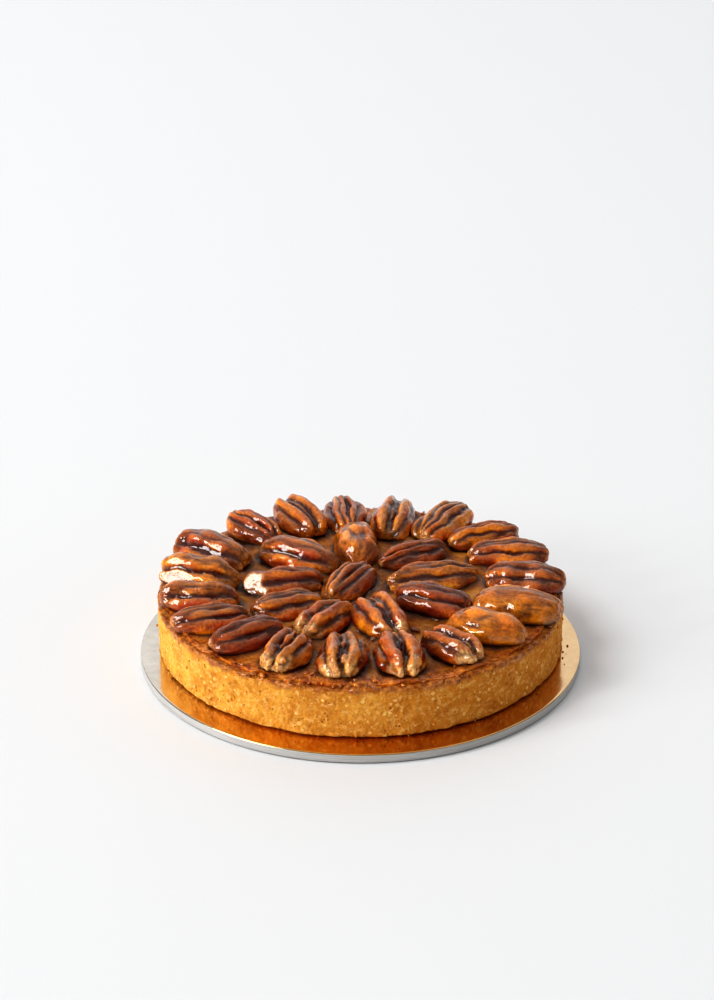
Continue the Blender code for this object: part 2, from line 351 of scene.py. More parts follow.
# The pastry shell
# Shortcrust pressed into a smooth straight ring and baked, so the wall is upright and even, with a fine
# sandy grain, pale specks and dark pits. Its rim is browned and crumbly and has taken up syrup.
SHELL_BOTTOM = 0.0045
SHELL_RADIUS = 0.0920
SHELL_HEIGHT = 0.0240
SHELL_FLOOR = 0.0036
SHELL_STEPS = 1280
SHELL_FOOT = ((0.05, 0.0), (0.0895, 0.0), (0.0908, 0.00015), (0.0915, 0.0006))  # radius, height
WALL_ROWS = 44
RIM_LEVEL = SHELL_BOTTOM + SHELL_HEIGHT
RIM_ROUND = 0.0011  # radius of the rim's outer corner
BROWNED_DEPTH = 0.0027  # how far down the wall the browning fades out
WALL_INSET = 0.00015
WALL_SINK, WALL_SWAY, WALL_GRAIN, WALL_BUMP, WALL_PIT = 0.00018, 0.00022, 0.00028, 0.0009, 0.0014
RIM_SINK, RIM_SWAY, RIM_LUMP = 0.0004, 0.00045, 0.00085
FOOT_HEIGHT, FOOT_RAGGED, CORNER_RAGGED = 0.0026, 0.0016, 0.0010
LATTICE_LEAN, LATTICE_TURN = 0.62, 0.47  # radians, so no plane of the lattice stands upright or level
DOUGH_TONES = ((0.32, (0.58, 0.240, 0.030)), (0.50, (0.78, 0.370, 0.054)), (0.68, (0.94, 0.525, 0.105)))
DARK_SAND, PALE_SAND = (0.40, 0.150, 0.018), (0.86, 0.52, 0.16)
# A darker brown painted over the right side of the shell as shade, away from the window.
SHADE_SIDE_TONE = (0.60, 0.188, 0.011)
CREAM, PALE_SPECK, DARK_SPECK = (0.92, 0.56, 0.19), (0.94, 0.58, 0.20), (0.38, 0.115, 0.015)
RIM_TONES = ((0.34, (0.22, 0.055, 0.006)), (0.48, (0.47, 0.142, 0.014)), (0.66, (0.74, 0.32, 0.055)))

lean_cos, lean_sin = math.cos(LATTICE_LEAN), math.sin(LATTICE_LEAN)
turn_cos, turn_sin = math.cos(LATTICE_TURN), math.sin(LATTICE_TURN)
LATTICE_AXES = np.array([[1, 0, 0], [0, lean_cos, -lean_sin], [0, lean_sin, lean_cos]]) @ np.array(
    [[turn_cos, 0, turn_sin], [0, 1, 0], [-turn_sin, 0, turn_cos]]
)


def lattice_noise(points, cell, seed):
    """Smooth noise between -1 and 1: random values on a slanting cubic lattice of that cell, blended with
    an S-curve. Each value is a hash of the lattice point's whole numbers and the seed."""
    place = points @ LATTICE_AXES / cell
    low = np.floor(place).astype(np.int64)
    part = place - low
    part = part * part * (3 - 2 * part)
    total = np.zeros(len(points))
    for corner in range(8):
        step = np.array([corner & 1, corner >> 1 & 1, corner >> 2 & 1])
        key = ((low + step) * np.array([73856093, 19349663, 83492791])).sum(axis=1) + seed * 2654435761
        key = (key ^ (key >> 13)) * 1274126177 & 0x7FFFFFFF
        key = (key ^ (key >> 16)) * 2246822519 & 0x7FFFFFFF
        value = (key ^ (key >> 15)) % 65536 / 32767.5 - 1
        weight = np.prod(np.where(step == 1, part, 1 - part), axis=1)
        total += weight * value
    return total


def layered_noise(points, cell, seed, layers=3):
    """Lattice noise in layers, each half the size and half the strength of the last."""
    total, strength = np.zeros(len(points)), 0.0
    for layer in range(layers):
        total += lattice_noise(points, cell / 2**layer, seed + 17 * layer) / 2**layer
        strength += 1 / 2**layer
    return total / strength


def closed_wave(angles, seed, counts):
    """A closed unevenness between about -1 and 1: a few whole numbers of waves round the ring, seeded."""
    random = np.random.default_rng(seed)
    total = sum(np.sin(count * angles + random.uniform(0, 2 * math.pi)) for count in counts)
    return total / (1.4 * len(counts) ** 0.5)


def faded(values, start, reach):
    """0 up to a start, rising evenly to 1 over a reach, which is less than zero where it falls instead."""
    return np.clip((values - start) / reach, 0, 1)


shell_rows = list(SHELL_FOOT)
wall_levels = np.linspace(0.0012, SHELL_HEIGHT - 0.0012, WALL_ROWS)
shell_rows += [(SHELL_RADIUS - WALL_INSET, height) for height in wall_levels]
shell_rows += [
    (SHELL_RADIUS - 0.0012 + RIM_ROUND * math.cos(a), SHELL_HEIGHT - RIM_ROUND + RIM_ROUND * math.sin(a))
    for a in np.linspace(0.25, 1.5, 5)
]
shell_rows += [(SHELL_RADIUS - inset, SHELL_HEIGHT) for inset in np.linspace(0.0014, 0.0038, 7)]
shell_rows += [(SHELL_RADIUS - 0.0043, SHELL_HEIGHT - 0.0012), (SHELL_RADIUS - 0.0044, 0.004)]
shell_rows += [(0.05, SHELL_FLOOR)]
shell_turn = np.tile(np.arange(SHELL_STEPS) * 2 * math.pi / SHELL_STEPS, len(shell_rows))
way_out = np.stack([np.cos(shell_turn), np.sin(shell_turn), 0 * shell_turn], axis=-1)
shell_points = turned_grid(shell_rows, SHELL_STEPS).reshape(-1, 3)
row_radius, row_height = np.repeat(np.array(shell_rows), SHELL_STEPS, axis=0).T
on_wall = faded(row_radius, 0.0885, 0.002) * np.clip((SHELL_HEIGHT - row_height) / 0.0015, 0.25, 1)
on_rim = faded(row_height, SHELL_HEIGHT - 0.0016, 0.0012) * faded(row_radius, 0.0874, 0.0006)
wall_sway = closed_wave(shell_turn + 9 * row_height, 11, (3, 5, 8, 13, 21))
rim_sway = closed_wave(shell_turn, 31, (4, 7, 11, 17))
grain = layered_noise(shell_points, 0.0014, 21)
rim_lumps = layered_noise(shell_points, 0.0034, 27)
bumps = np.clip(lattice_noise(shell_points, 0.0015, 35) - 0.45, 0, 1)
pits = np.clip(-lattice_noise(shell_points, 0.0013, 39) - 0.55, 0, 1)
foot_noise = np.clip(layered_noise(shell_points * np.array([1, 1, 0.2]), 0.0036, 41) - 0.05, -1, 0.15)
outwards = -WALL_SINK + WALL_SWAY * wall_sway + WALL_GRAIN * grain + WALL_BUMP * bumps - WALL_PIT * pits
outwards = outwards * on_wall
at_foot = faded(row_height, FOOT_HEIGHT, -FOOT_HEIGHT) * faded(row_radius, 0.0885, 0.001)
outwards += FOOT_RAGGED * foot_noise * at_foot
outwards += CORNER_RAGGED * rim_lumps * on_rim * faded(row_radius, 0.0905, 0.001)
shell_points += way_out * outwards[:, None]
shell_points[:, 2] += on_rim * (-RIM_SINK + RIM_SWAY * rim_sway + RIM_LUMP * rim_lumps)
edge_depth = SHELL_HEIGHT - row_height
rim_patches = layered_noise(shell_points * np.array([1, 1, 0.4]), 0.011, 53)
rim_patches *= np.clip(1.4 - edge_depth / 0.004, 0, 1)
browned = np.clip(1.35 - edge_depth / BROWNED_DEPTH + 0.55 * rim_lumps + 0.9 * rim_patches, 0, 1)
shell_points += np.array([0, TART_OFFSET, SHELL_BOTTOM])
shell_mesh = grid_mesh(
    "pastry_shell",
    shell_points.reshape(len(shell_rows), SHELL_STEPS, 3),
    (0, TART_OFFSET, SHELL_BOTTOM),
    (0, TART_OFFSET, SHELL_BOTTOM + SHELL_FLOOR),
    {"browned": np.concatenate([browned, [0, 0]])},
)


def spots(material, scale, patches, lowest, reach):
    """A 0 or 1 mask of round spots: Voronoi cells whose distance is under a size that comes and goes with
    noise, from nothing at the lowest value of the noise to reach at a quarter over it."""
    where = add_node(material, "ShaderNodeTexCoord").outputs["Object"]
    cells = add_node(material, "ShaderNodeTexVoronoi", {"Vector": where, "Scale": scale, "Randomness": 1.0})
    size = ramp(material, noise_texture(material, patches, 1.0), ((lowest, 0.0), (lowest + 0.25, reach)))
    inputs = {0: cells.outputs["Distance"], 1: size}
    return add_node(material, "ShaderNodeMath", inputs, operation="LESS_THAN").outputs[0]


pastry = finish_of(
    "shortcrust",
    Specular_IOR_Level=0.25,
    Subsurface_Weight=0.10,
    Subsurface_Scale=0.0015,
    Coat_Roughness=0.12,
)
sand = noise_texture(pastry, 1100.0, 4.0, 0.75)
dough = ramp(pastry, noise_texture(pastry, 110.0, 5.0, 0.6), DOUGH_TONES)
dough = mixed(pastry, ramp(pastry, sand, ((0.32, 0.62), (0.50, 0.0))), dough, DARK_SAND)
dough = mixed(pastry, ramp(pastry, sand, ((0.60, 0.0), (0.74, 0.45))), dough, PALE_SAND)
pastry_place = add_node(pastry, "ShaderNodeTexCoord").outputs["Object"]
across_tart = add_node(pastry, "ShaderNodeSeparateXYZ", {0: pastry_place}).outputs["X"]
# Painted shade: the dough turns darker and browner from the left of the tart to the right.
shade_side = add_node(pastry, "ShaderNodeMapRange", {0: across_tart, 1: -0.065, 2: 0.06, 3: 0.0, 4: 0.58})
dough = mixed(pastry, shade_side.outputs[0], dough, SHADE_SIDE_TONE)
cream = ramp(pastry, noise_texture(pastry, 430.0, 4.0, 0.7), ((0.50, 0.0), (0.64, 0.75)))
dough = mixed(pastry, cream, dough, CREAM)
dough = mixed(pastry, spots(pastry, 320.0, 210.0, 0.44, 0.36), dough, PALE_SPECK)
dough = mixed(pastry, spots(pastry, 560.0, 380.0, 0.49, 0.32), dough, DARK_SPECK)
toast = add_node(pastry, "ShaderNodeAttribute", attribute_name="browned").outputs["Fac"]
rim_tone = ramp(pastry, noise_texture(pastry, 420.0, 4.0, 0.7), RIM_TONES)
feed(pastry, "Base Color", mixed(pastry, toast, dough, rim_tone))
feed(pastry, "Roughness", ramp(pastry, toast, ((0.2, 0.75), (0.9, 0.50))))
wet_patches = ramp(pastry, noise_texture(pastry, 170.0, 3.0, 0.6), ((0.40, 0.0), (0.56, 1.0)))
toasted = ramp(pastry, toast, ((0.35, 0.0), (0.95, 1.0)))
feed(pastry, "Coat Weight", mixed(pastry, toasted, (0, 0, 0), wet_patches))
feed(pastry, "Normal", bumped(pastry, sand, 0.9, 0.0007))
place_piece("pastry_shell_baked", shell_mesh, pastry, "pastry", "pastry_shell")

# The pecan halves
# Each is half a shelled pecan, dome up: a middle ridge with two lobes down either side, parted by creases
# that run from end to end, with fine wrinkles. They are stuck into the filling and coated in syrup, and
# some have split or broken at an end and show pale flesh.
NUT_LENGTH = 0.0360
NUT_WIDTH = 0.0198
NUT_DOME = 0.0089
NUT_BELLY = 0.0024
NUT_STATIONS = 112
NUT_AROUND = 96
NUT_SINK = 0.0005  # how far the underside sits under the rim's level
HALVINGS = 15

# As laid, anticlockwise from the right: angle round the tart and turn in degrees, distance in millimetres,
# length, width and height against a middling nut, outer end tipped up in degrees, form, and skin.
OUTER_NUTS = (
    (4, -12, 75.4, 1.05, 1.16, 1.16, 0, "creased", "brown"),
    (24, -22, 75.2, 1.06, 0.96, 1.04, 0, "creased", "rust"),
    (41, -21, 76.6, 0.98, 0.92, 1.00, 0, "ridged", "rust"),
    (59, -2, 76.0, 1.04, 1.10, 1.10, 1, "ridged", "amber"),
    (77, 3, 71.0, 1.08, 1.12, 1.06, 1, "parted", "amber"),
    (96, 0, 73.6, 0.94, 1.00, 1.00, 1, "ridged", "rust"),
    (113, 8, 75.0, 1.02, 1.10, 1.12, 3, "parted", "rust"),
    (132, 4, 75.5, 0.90, 0.98, 1.08, 3, "ridged", "rust"),
    (155, -4, 76.0, 1.08, 1.16, 1.34, 2, "hollow", "rust"),
    (173, -7, 73.5, 1.05, 1.04, 1.24, 2, "pooled", "amber"),
    (191, -15, 73.2, 1.03, 1.00, 1.18, 0, "hollow", "rust"),
    (208, -17, 74.4, 1.01, 0.98, 1.00, 0, "creased", "rust"),
    (226, -16, 71.6, 0.98, 0.92, 1.04, 1, "creased", "red"),
    (244, 4, 73.5, 0.88, 1.04, 1.12, 0, "broken", "rust"),
    (264, 2, 70.0, 0.90, 1.08, 1.10, 0, "broken", "tan"),
    (284, -4, 70.5, 0.98, 1.04, 1.10, 0, "broken", "rust"),
    (304, 12, 72.2, 0.82, 1.00, 0.98, 0, "broken", "brown"),
    (321, 16, 71.0, 0.95, 1.02, 1.22, 2, "smooth", "amber"),
    (341, 2, 74.0, 1.08, 1.04, 1.30, 2, "smooth", "amber"),
)
INNER_NUTS = (
    (12, 2, 33.6, 1.18, 0.98, 1.06, 0, "creased", "amber"),
    (52, -22, 38.5, 0.98, 0.90, 0.94, 0, "ridged", "dark"),
    (93, 2, 39.6, 0.96, 1.06, 1.22, 0, "smooth", "rust"),
    (136, 18, 39.7, 1.12, 1.06, 1.20, 0, "hollow", "rust"),
    (176, 10, 35.5, 1.02, 0.96, 1.06, 0, "chipped", "rust"),
    (214, -14, 39.5, 0.92, 0.90, 0.96, 0, "creased", "rust"),
    (245, -14, 38.5, 0.90, 1.04, 1.00, 0, "broken", "rust"),
    (285, 8, 34.6, 1.00, 1.12, 1.14, 0, "parted", "rust"),
    (332, 10, 36.5, 0.98, 0.98, 1.08, 0, "creased", "red"),
)
MIDDLE_NUT = (170, -108, 5.4, 1.00, 1.08, 1.18, 0, "ridged", "rust")

# Each form says how softly its lobes run together, in millimetres, how rough it is, and its lobes as shares
# of half the length, half the width and the dome's height: middle and half length, place across and up,
# half width and half height. Lobes off the middle come in pairs.
FORMS = {
    "smooth": (1.6, 0.65, (
        (0, 0.96, 0, 0.10, 0.90, 0.74),
        (0, 0.95, 0, 0.42, 0.50, 0.54),
        (0, 0.94, 0.40, 0.36, 0.34, 0.48),
        (0, 0.95, 0.76, 0.04, 0.24, 0.40),
    )),
    "hollow": (0.7, 0.8, (
        (0, 0.96, 0, 0.00, 0.84, 0.62),
        (0, 0.97, 0, 0.44, 0.42, 0.54),
        (0, 0.94, 0.30, 0.44, 0.26, 0.46),
        (0, 0.96, 0.77, 0.06, 0.24, 0.44),
    )),
    "pooled": (0.9, 0.8, (
        (0, 0.96, 0, 0.00, 0.86, 0.66),
        (0, 0.97, 0, 0.42, 0.44, 0.54),
        (0, 0.94, 0.32, 0.42, 0.28, 0.46),
        (0, 0.96, 0.74, 0.10, 0.27, 0.46),
    )),
    "ridged": (0.6, 1.0, (
        (0, 0.96, 0, 0.02, 0.85, 0.62),
        (0, 0.96, 0, 0.52, 0.24, 0.46),
        (0, 0.95, 0.36, 0.46, 0.26, 0.46),
        (0, 0.94, 0.73, 0.10, 0.27, 0.46),
    )),
    "creased": (0.6, 0.9, (
        (0, 0.96, 0, 0.00, 0.84, 0.62),
        (0, 0.96, 0.02, 0.50, 0.26, 0.46),
        (0, 0.95, 0.30, 0.48, 0.28, 0.46),
        (0, 0.95, 0.74, 0.08, 0.28, 0.46),
    )),
    "parted": (0.7, 0.9, (
        (0, 0.94, 0, 0.00, 0.86, 0.58),
        (0, 0.70, 0, 0.42, 0.15, 0.34),
        (0, 0.96, 0.42, 0.42, 0.34, 0.56),
        (0, 0.93, 0.74, 0.06, 0.27, 0.44),
    )),
    "chipped": (0.8, 0.8, (
        (0, 0.96, 0, 0.02, 0.84, 0.62),
        (0, 0.96, 0, 0.48, 0.34, 0.50),
        (0, 0.95, 0.34, 0.44, 0.26, 0.46),
        (0, 0.96, 0.79, 0.04, 0.22, 0.40),
    )),
    "broken": (0.6, 1.4, (
        (-0.04, 0.90, 0, 0.00, 0.86, 0.56),
        (-0.30, 0.55, 0, 0.42, 0.16, 0.42),
        (0, 0.96, 0.44, 0.40, 0.35, 0.58),
        (0, 0.92, 0.74, 0.06, 0.27, 0.44),
    )),
}
BROKEN_BITS = 7
# Two nuts have a flat face on the front left of their flank, one chipped and one levelled by syrup: the way
# it faces in the tart's own frame, and how far out it lies as a share of the nut's reach that way.
FACE_WAY = np.array((-0.457, -0.739, 0.494))
FACE_SHARE = {"chipped": 0.885, "pooled": 0.865}
NO_FACE = 9.0
LOBE_CURVE = 0.42  # how much a side lobe swings in towards the middle at its ends
LOBE_DROP = 0.30  # how much of its height over the widest line a lobe loses at its ends
LOBE_BLUNT = 2.7
FLANK_POWER = 1.6  # under 2, so that the outer lobes have flat sloping flanks
CREASE_SOFT = 1.1  # millimetres either side of a meeting of lobes that count as its crease
WARP_CELL, WARP_DEPTH = 7.0, 1.1  # millimetres, how the whole nut is swayed
NUT_NOISES = (  # stretch along the nut, cell in millimetres, what is added to the nut's seed, and layers
    (0.60, 3.4, 0, 2),  # lumps
    (0.22, 1.1, 5, 2),  # lines
    (0.13, 1.7, 7, 2),  # veins
    (0.70, 1.7, 11, 1),  # dimples
    (1.00, 2.6, 9, 3),  # flesh
    (0.40, 5.0, 3, 3),  # patches
    (0.22, 0.9, 21, 2),  # streaks
)
LUMP_DEPTH, LINE_DEPTH, DIMPLE_DEPTH, VEIN_DEPTH = 0.58, 0.20, 0.10, 0.25  # millimetres
VEIN_WIDTH = 0.13  # as a share of the noise's height
CLEAN_SHARE = 0.65  # how much of the wrinkles a flat face loses
SKIN_SPREAD = 0.10  # how much lighter or darker than its skin a nut may be
SKINS = {  # a darker and a brighter tone
    "amber": ((0.74, 0.195, 0.005), (0.98, 0.365, 0.016)),
    "tan": ((0.60, 0.165, 0.014), (0.90, 0.35, 0.038)),
    "rust": ((0.54, 0.105, 0.004), (0.90, 0.300, 0.014)),
    "red": ((0.34, 0.050, 0.004), (0.60, 0.140, 0.009)),
    "brown": ((0.40, 0.083, 0.005), (0.72, 0.21, 0.012)),
    "dark": ((0.24, 0.045, 0.004), (0.52, 0.12, 0.008)),
}
# A near black painted into the creases and hollows as shade, and on the darker veins of the skin.
GROOVE_SHADE_AND_VEIN = np.array((0.060, 0.010, 0.002))
# A deep red for the flanks and hollows: partly the colour of thick syrup, partly painted shade.
HOLLOW_SHADE_AND_SYRUP = np.array((0.28, 0.022, 0.002))
# A greyish mauve brown painted on the tops as a sheen of the pale room mirrored in the syrup.
CREST_SHEEN = np.array((0.28, 0.102, 0.050))
FLESH = np.array((1.0, 0.66, 0.29))
# Flesh for the chipped face, paler than the rest as a painted highlight.
PALE_FLESH_AND_HIGHLIGHT = np.array((1.0, 0.77, 0.45))


def grid_normals(grid):
    """Unit normals of a grid whose rows are closed round, from the cross product of its two differences."""
    along = np.gradient(grid, axis=0)
    round_about = np.roll(grid, -1, axis=1) - np.roll(grid, 1, axis=1)
    normal = np.cross(round_about, along)
    length = np.linalg.norm(normal, axis=-1, keepdims=True)
    return normal / np.maximum(length, 1e-12)


def nut_lobes(form, half_long, half_wide, dome, random):
    """The lobes of one nut in millimetres: middle, half length, across, up, half width, half height, waves.

    The waves are how much and how fast a lobe sways along itself, and how much and how fast it swells,
    each with the angle that it starts at. A broken nut has small round bits at its outer end as well."""
    lobes = []
    for middle, reach, across, up, wide, high in FORMS[form][2]:
        for side in (1, -1) if across else (1,):
            wild = 0.02 if not lobes else (0.10 if form == "broken" else 0.075)
            sways = across > 0 or high < 0.5
            waves = (random.uniform(0.2, 0.65) * sways, random.uniform(2, 4.5), random.uniform(0, 6))
            waves += (random.uniform(0.03, 0.12), random.uniform(4, 9), random.uniform(0, 6))
            lobes.append(
                (
                    (middle + random.uniform(-wild, wild) * 0.6) * half_long,
                    reach * (1 - abs(random.normal(0, wild)) * 0.7) * half_long,
                    across * side * half_wide * (1 + random.uniform(-wild, wild)),
                    (up + random.uniform(-wild, wild)) * dome,
                    wide * half_wide * (1 + random.uniform(-wild, wild)),
                    high * dome * (1 + random.uniform(-wild, wild)),
                    waves,
                )
            )
    for _ in range(BROKEN_BITS if form == "broken" else 0):
        size = random.uniform(1.2, 2.3)
        lobes.append(
            (
                random.uniform(0.35, 0.88) * half_long,
                size * random.uniform(1.0, 1.6),
                random.uniform(-0.6, 0.6) * half_wide,
                random.uniform(0.10, 0.62) * dome,
                size,
                size,
                (0, 1, 0, 0, 1, 0),
            )
        )
    return lobes


def lobed_body(points, lobes, soft, belly):
    """How far points are outside the lobes run softly together, and how deep in a crease they are.

    The distance is less than zero inside. A lobe is a bent superellipsoid, and smooth noise sways the
    whole nut. Outer lobes have a lower power across, which flattens their flanks. Two lobes meet by a
    smooth minimum, and a crease is where that minimum weighs both sides alike, or where the first lobe,
    the core, shows bare between the others."""
    flat = points.reshape(-1, 3) * np.array([1, 0.6, 0.6]) + 50.0 * lobes[0][1]
    sway = WARP_DEPTH * lattice_noise(flat, WARP_CELL, 7).reshape(points.shape[:-1])
    lift = 0.6 * WARP_DEPTH * lattice_noise(flat, WARP_CELL, 8).reshape(points.shape[:-1])
    x, y, z = points[..., 0], points[..., 1] + sway, points[..., 2] + lift
    body, crease, bare = None, 0, 1
    for middle, reach, across, up, wide, high, wave in lobes:
        share = (x - middle) / reach
        bent = np.clip(share, -1.3, 1.3) ** 2
        line = across * (1 - LOBE_CURVE * bent) + wave[0] * np.sin(wave[1] * share + wave[2])
        swell = 1 + wave[3] * np.sin(wave[4] * share + wave[5])
        half_high = np.where(z > up, high, high if across else belly + up)
        rise = (z - up * (1 - LOBE_DROP * bent)) / half_high / swell
        power = FLANK_POWER if abs(across) > 1.1 * wide else 2.0
        ring = (np.abs((y - line) / (wide * swell)) ** power + np.abs(rise) ** power) ** (1 / power)
        lobe = ((np.abs(share) ** LOBE_BLUNT + ring**LOBE_BLUNT) ** (1 / LOBE_BLUNT) - 1) * min(wide, high)
        if body is None:
            body = lobe
            continue
        keep = np.clip(0.5 + 0.5 * (lobe - body) / CREASE_SOFT, 0, 1)
        crease, bare = np.maximum(crease * keep, 4 * keep * (1 - keep)), bare * keep
        keep = np.clip(0.5 + 0.5 * (lobe - body) / soft, 0, 1)
        body = lobe * (1 - keep) + body * keep - soft * keep * (1 - keep)
    return body, np.maximum(crease, 0.8 * bare)


def valleys(reach):
    """How far each ray falls short of the mean of its neighbours round about and along, in millimetres."""
    mean = sum(np.roll(reach, step, axis=1) for step in range(-6, 7)) / 13
    along = np.pad(mean, ((4, 4), (0, 0)), mode="edge")
    return sum(along[step : step + len(reach)] for step in range(9)) / 9 - reach


def nut_noises(points, seed):
    """Each of a nut's noises at its points: layered noise, drawn out along the nut by its stretch."""
    for stretch, cell, more, layers in NUT_NOISES:
        flat = (points + 31.7 * seed).reshape(-1, 3) * np.array([stretch, 1, 1])
        yield layered_noise(flat, cell, seed + more, layers).reshape(points.shape[:-1])


def blended(colour, other, share):
    """Colours moved towards another by a share for each point."""
    return colour + (other - colour) * share[..., None]


def pecan_half(row, seed):
    """One pecan half in its own frame, long axis on X, widest line at Z 0, and its colour at each point.

    Rays leave an inner line along the nut, fanning over its ends, and each is halved down to where it
    meets the lobed body or its flat face. Wrinkles then move the points along the surface's normals.
    The colour starts as patches of the skin's two tones. The tops take a painted sheen, and the flanks a
    deep red that is partly syrup and partly painted shade. It is lighter where the surface bulges, painted
    shade darkens the hollows, the creases and the foot, the veins are darker, and torn places show flesh,
    paler on the chipped face as a painted highlight."""
    length, width, height, form, skin = row[3], row[4], row[5], row[7], row[8]
    smooth, chipped = form == "smooth", form == "chipped"
    soft, rough, _ = FORMS[form]
    random = np.random.default_rng(seed)
    half_long, half_wide, dome = 500 * NUT_LENGTH * length, 500 * NUT_WIDTH * width, 1000 * NUT_DOME * height
    belly = 1000 * NUT_BELLY
    lobes = nut_lobes(form, half_long, half_wide, dome, random)
    swing = np.linspace(0, math.pi, NUT_STATIONS + 2)[1:-1, None] + np.zeros((1, NUT_AROUND))
    around = np.arange(NUT_AROUND)[None, :] * 2 * math.pi / NUT_AROUND
    way = np.stack([-np.cos(swing), np.sin(swing) * np.cos(around), np.sin(swing) * np.sin(around)], axis=-1)
    start = np.stack([-0.66 * half_long * np.cos(swing), 0 * swing, 0.10 * dome + 0 * swing], axis=-1)
    yaw = math.radians(row[0] + row[1])
    turned = [[math.cos(yaw), math.sin(yaw), 0], [-math.sin(yaw), math.cos(yaw), 0], [0, 0, 1]]
    face = np.array(turned) @ FACE_WAY
    face_at = FACE_SHARE.get(form, NO_FACE) * np.linalg.norm(face * np.array([half_long, half_wide, dome]))
    near, far = np.zeros(swing.shape), np.full(swing.shape, 1.5 * half_wide)
    for _ in range(HALVINGS):
        reach = (near + far) / 2
        points = start + way * reach[..., None]
        inside = (lobed_body(points, lobes, soft, belly)[0] < 0) & (points @ face < face_at)
        near, far = np.where(inside, reach, near), np.where(inside, far, reach)
    grid = start + way * near[..., None]
    on_face = np.clip(1.3 - (face_at - grid @ face) / 0.4, 0, 1)
    crease = lobed_body(grid, lobes, soft, belly)[1] * np.clip(1 + grid[..., 2] / 1.5, 0, 1) * (1 - on_face)
    share = grid[..., 0] / half_long
    lumps, lines, veins, dimples, flesh, patch, streaks = nut_noises(grid, seed)
    veins = np.clip(1 - np.abs(veins) / VEIN_WIDTH, 0, 1) ** 1.5
    patch = (0.5 if smooth else 0.9) * patch

    normal = grid_normals(grid)
    normal = normal * np.sign(np.einsum("ijk,ijk->ij", normal, grid - start).mean())
    wrinkles = LUMP_DEPTH * lumps + LINE_DEPTH * lines + DIMPLE_DEPTH * dimples - VEIN_DEPTH * veins
    wrinkles = wrinkles * rough * np.clip(1 + grid[..., 2] / 1.2, 0, 1) * (1 - CLEAN_SHARE * on_face)
    grid = grid + normal * wrinkles[..., None]
    valley = valleys(np.linalg.norm(grid - start, axis=-1)) * np.clip(1 + grid[..., 2] / 1.5, 0, 1)
    if form == "broken":
        torn = np.clip((share - 0.52) / 0.25 + 1.3 * flesh, 0, 1) * np.clip((share - 0.38) / 0.2, 0, 1)
        torn = torn * np.clip(0.25 + 0.9 * crease + 0.5 * (grid[..., 2] < 0.45 * dome), 0, 1)
        grid = grid - normal * (0.5 * torn * np.clip(flesh, -1, 0.3))[..., None]
    elif chipped:
        torn = 0.40 * on_face * np.clip((share - 0.20) / 0.12 + 1.3 * flesh, 0, 1)
    elif form == "parted":
        torn = 0.8 * np.clip((share - 0.80) / 0.08 + 1.4 * flesh, 0, 1) * np.clip((share - 0.72) / 0.1, 0, 1)
    else:
        torn = 0.5 * np.clip((np.abs(share) - 0.90) / 0.05 + 2.0 * flesh - 0.6, 0, 1) * (not smooth)

    base, bright = (np.array(tone) for tone in SKINS[skin])
    colour = base + (bright - base) * np.clip(0.54 + 1.7 * patch, 0, 1)[..., None]
    colour = colour * (1 + SKIN_SPREAD * random.uniform(-1, 1))
    colour = colour * (1 + (0.12 if smooth else 0.30) * streaks)[..., None]
    facing = normal[..., 2]
    # Painted sheen: where the surface faces up, the colour is moved towards the greyish mauve brown.
    crest_sheen = np.clip((facing - 0.36) / 0.36, 0, 1) * np.clip(0.88 + 0.8 * streaks, 0, 1)
    colour = blended(colour, CREST_SHEEN, (0.12 if smooth else 0.72) * crest_sheen)
    # Flanks that face sideways or down, away from the light, take the deep red. It is partly the colour of
    # thicker syrup there and partly painted shade.
    hollow = np.clip((0.62 - facing) / 0.3, 0, 1) * np.clip(1.2 - (share / 0.85) ** 2, 0, 1)
    hollow = hollow * np.clip(0.70 - 2.2 * patch, 0, 1) * (not smooth)
    colour = blended(colour, HOLLOW_SHADE_AND_SYRUP * (0.5 + base[0]), 0.85 * hollow)
    # The colour is lighter where the surface bulges over its neighbours. Painted shade darkens it where it
    # sinks into a hollow.
    colour = colour * (1 + 0.30 * np.clip(-valley / 0.5, 0, 1))[..., None]
    colour = blended(colour, HOLLOW_SHADE_AND_SYRUP * 0.4, 0.92 * np.clip((valley - 0.05) / 0.75, 0, 1))
    tips = np.clip((np.abs(share) - 0.74) / 0.2, 0, 1) * np.clip(0.5 + patch, 0, 1)
    colour = blended(colour, bright * 1.1, 0.6 * tips)
    # Painted shade in the creases and hollows, with the darker veins of the skin: the colour is moved towards
    # near black.
    groove_shade_and_veins = 1.1 * crease - 0.45 + 1.2 * np.clip(valley, 0, 0.5) + (0.25 if smooth else 0.55) * veins
    groove_shade_and_veins = np.clip(groove_shade_and_veins, 0, 1)
    colour = blended(colour, GROOVE_SHADE_AND_VEIN, 0.78 * groove_shade_and_veins)
    # The chipped face shows flesh made paler as a painted highlight.
    bare = PALE_FLESH_AND_HIGHLIGHT if chipped else FLESH
    flesh_tone = bare + (bright - bare) * np.clip(0.1 - 2.0 * lines - 0.9 * lumps, 0, 0.7)[..., None]
    torn = torn * (0.95 * (1 - 0.3 * groove_shade_and_veins) if chipped else 0.85 * (1 - 0.7 * groove_shade_and_veins))
    colour = blended(colour, flesh_tone, torn)
    # Painted shade under the nut: the colour darkens towards the foot.
    colour = colour * (1 - 0.93 * np.clip((0.9 - grid[..., 2]) / 2.2, 0, 1))[..., None]
    grid[..., 2] += belly
    return 0.001 * grid, np.clip(colour, 0.004, 0.96)


